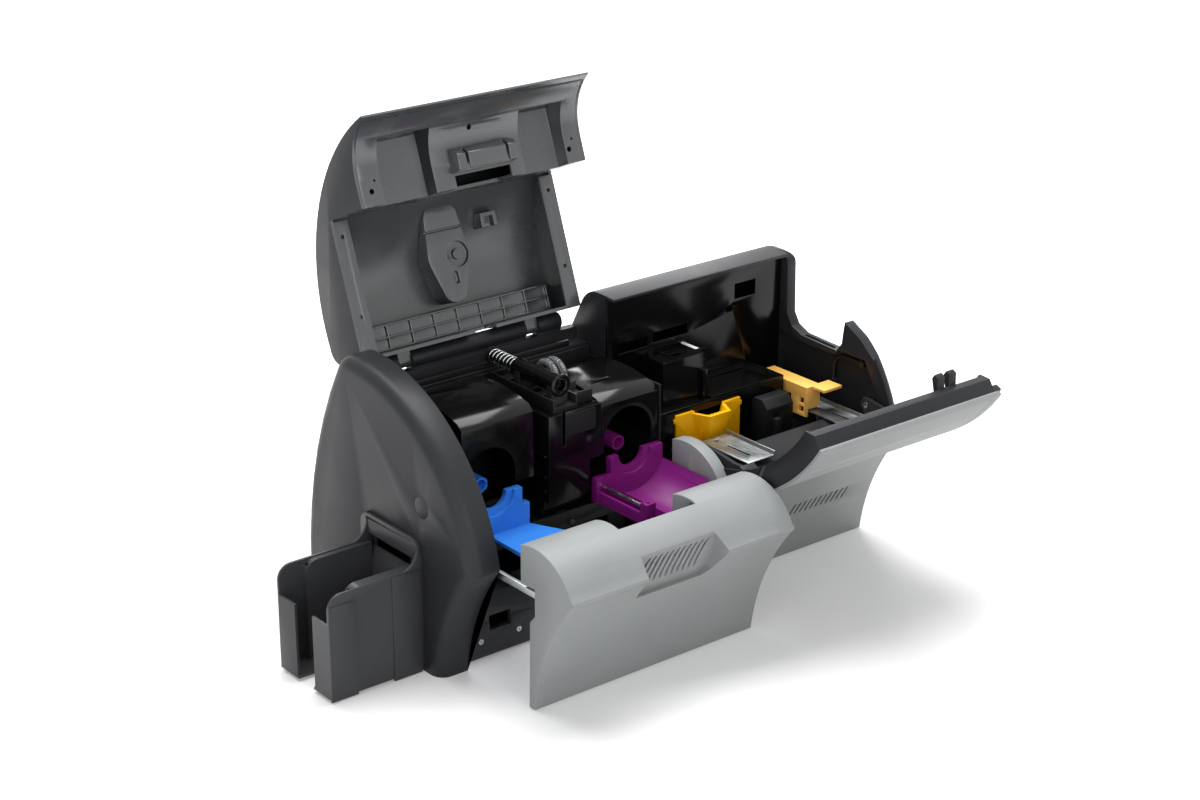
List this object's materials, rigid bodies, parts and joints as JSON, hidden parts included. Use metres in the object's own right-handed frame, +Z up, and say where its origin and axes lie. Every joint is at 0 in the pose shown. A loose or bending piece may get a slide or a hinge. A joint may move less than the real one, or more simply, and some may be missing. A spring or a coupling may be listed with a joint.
{
  "type": "id card printer",
  "caption": "Desktop card printer with a laminator module: arched covers open, ribbon drawer pulled out, card hopper on its left end.",
  "frame": {"origin": "middle of the whole footprint, hopper and open covers included, on the plane of its feet", "axes": "+X along the machine from the hopper end to the laminator, +Y from the front to the back, +Z up"},
  "size_m": [0.611, 0.399, 0.4728],
  "materials": {
    "dark_shell": "fine satin texture",
    "cover_inner": "fine satin texture",
    "light_panel": "satin paint on plastic",
    "black_plastic": "moulded black",
    "hopper_plastic": "moulded dark grey",
    "base_plastic": "moulded dark grey",
    "black_steel": "black sheet steel",
    "foot_rubber": "matt",
    "platen_rubber": "ground",
    "blue_plastic": "moulded blue",
    "purple_plastic": "moulded purple",
    "yellow_plastic": "moulded yellow",
    "orange_plastic": "moulded orange",
    "white_plastic": "moulded white",
    "steel": "bright steel",
    "zinc_steel": "zinc plated",
    "cable_braid": "braided grey",
    "cable_black": "black",
    "socket_plastic": "moulded black",
    "socket_steel": "tinned"
  },
  "bodies": {
    "chassis": {"base_pan": "black_steel", "base_front_panel": "base_plastic", "rubber_feet": "foot_rubber", "left_end_cap": "dark_shell", "left_cap_plug": "dark_shell", "right_end_cap": "dark_shell", "printer_rear_housing": "dark_shell", "power_inlet": "socket_plastic", "data_sockets": "socket_steel", "laminator_rear_shell": "dark_shell", "laminator_inner_panel": "black_plastic", "laminator_front_panel": "light_panel", "left_side_frame": "black_steel", "right_side_frame": "black_steel", "spindle_wall": "black_steel", "left_ribbon_hood": "black_plastic", "right_ribbon_hood": "black_plastic", "centre_tower": "black_plastic", "bare_label_plate": "black_plastic", "card_bed": "black_plastic", "head_bracket": "black_plastic", "head_sleeve": "black_plastic", "head_spring": "steel", "head_cables": "cable_braid", "hinge_deck": "black_plastic", "cover_hinge_pin": "steel", "laminator_bed": "black_plastic", "left_rail": "zinc_steel", "right_rail": "zinc_steel", "deck_block": "black_plastic", "deck_plate": "black_plastic", "top_block": "black_plastic", "lever_pin": "steel", "motor_block": "black_plastic", "motor_bracket": "steel", "sensor_cable": "cable_black", "door_hinge_pins": "steel"},
    "top_cover": {"cover_shell": "dark_shell", "cover_nose": "cover_inner", "cover_latch_box": "cover_inner", "cover_rib_strip": "cover_inner", "cover_dome": "cover_inner", "cover_clip": "cover_inner"},
    "ribbon_drawer": {"drawer_front": "light_panel", "drawer_runners": "zinc_steel", "blue_tray": "blue_plastic", "purple_tray": "purple_plastic", "tray_rod": "steel"},
    "laminator_door": {"door_skin": "light_panel", "door_frame": "dark_shell", "door_latch_hook": "cover_inner"},
    "blue_spindle": {"blue_spindle": "blue_plastic"},
    "purple_spindle": {"purple_spindle": "purple_plastic"},
    "platen_roller": {"platen_roller": "platen_rubber"},
    "feed_roller": {"feed_roller": "steel"},
    "white_roller": {"white_roller": "white_plastic"},
    "head_plunger": {"head_plunger": "steel"},
    "orange_lever": {"orange_lever": "orange_plastic"},
    "yellow_tray": {"yellow_tray": "yellow_plastic"},
    "output_hopper": {"output_hopper": "hopper_plastic"}
  },
  "joints": [
    {"name": "cover_hinge", "type": "hinge", "parent": "chassis", "child": "top_cover", "pos_m": [-0.0535, 0.14306, 0.23], "axis": [1, 0, 0], "range_deg": [0, 110]},
    {"name": "drawer_slide", "type": "slide", "parent": "chassis", "child": "ribbon_drawer", "axis": [0, 1, 0], "range_m": [0, 0.096]},
    {"name": "door_hinge", "type": "hinge", "parent": "chassis", "child": "laminator_door", "pos_m": [0.1835, -0.03994, 0.141], "axis": [1, 0, 0], "range_deg": [-115, 0]},
    {"name": "blue_spindle_spin", "type": "hinge", "parent": "chassis", "child": "blue_spindle", "pos_m": [-0.1255, 0.07406, 0.147], "axis": [0, 1, 0], "continuous": true},
    {"name": "purple_spindle_spin", "type": "hinge", "parent": "chassis", "child": "purple_spindle", "pos_m": [0.0315, 0.07406, 0.147], "axis": [0, 1, 0], "continuous": true},
    {"name": "platen_spin", "type": "hinge", "parent": "chassis", "child": "platen_roller", "pos_m": [-0.0345, 0.04906, 0.091], "axis": [0, 1, 0], "continuous": true},
    {"name": "feed_spin", "type": "hinge", "parent": "chassis", "child": "feed_roller", "pos_m": [-0.0745, 0.04906, 0.091], "axis": [0, 1, 0], "continuous": true},
    {"name": "white_roller_spin", "type": "hinge", "parent": "chassis", "child": "white_roller", "pos_m": [0.1625, 0.07406, 0.194], "axis": [0, 1, 0], "continuous": true},
    {"name": "head_plunger_slide", "type": "slide", "parent": "chassis", "child": "head_plunger", "axis": [0, -1, 0], "range_m": [0, 0.005], "stiffness_N_per_m": 400, "deforming": ["head_spring"]},
    {"name": "lever_hinge", "type": "hinge", "parent": "chassis", "child": "orange_lever", "pos_m": [0.2635, 0.07006, 0.147], "axis": [-1, 0, 0], "range_deg": [0, 25]},
    {"name": "tray_lift", "type": "slide", "parent": "chassis", "child": "yellow_tray", "axis": [0, 0, 1], "range_m": [0, 0.045]},
    {"name": "hopper_pull", "type": "slide", "parent": "chassis", "child": "output_hopper", "axis": [-1, 0, 0], "range_m": [0, 0.03]}
  ]
}
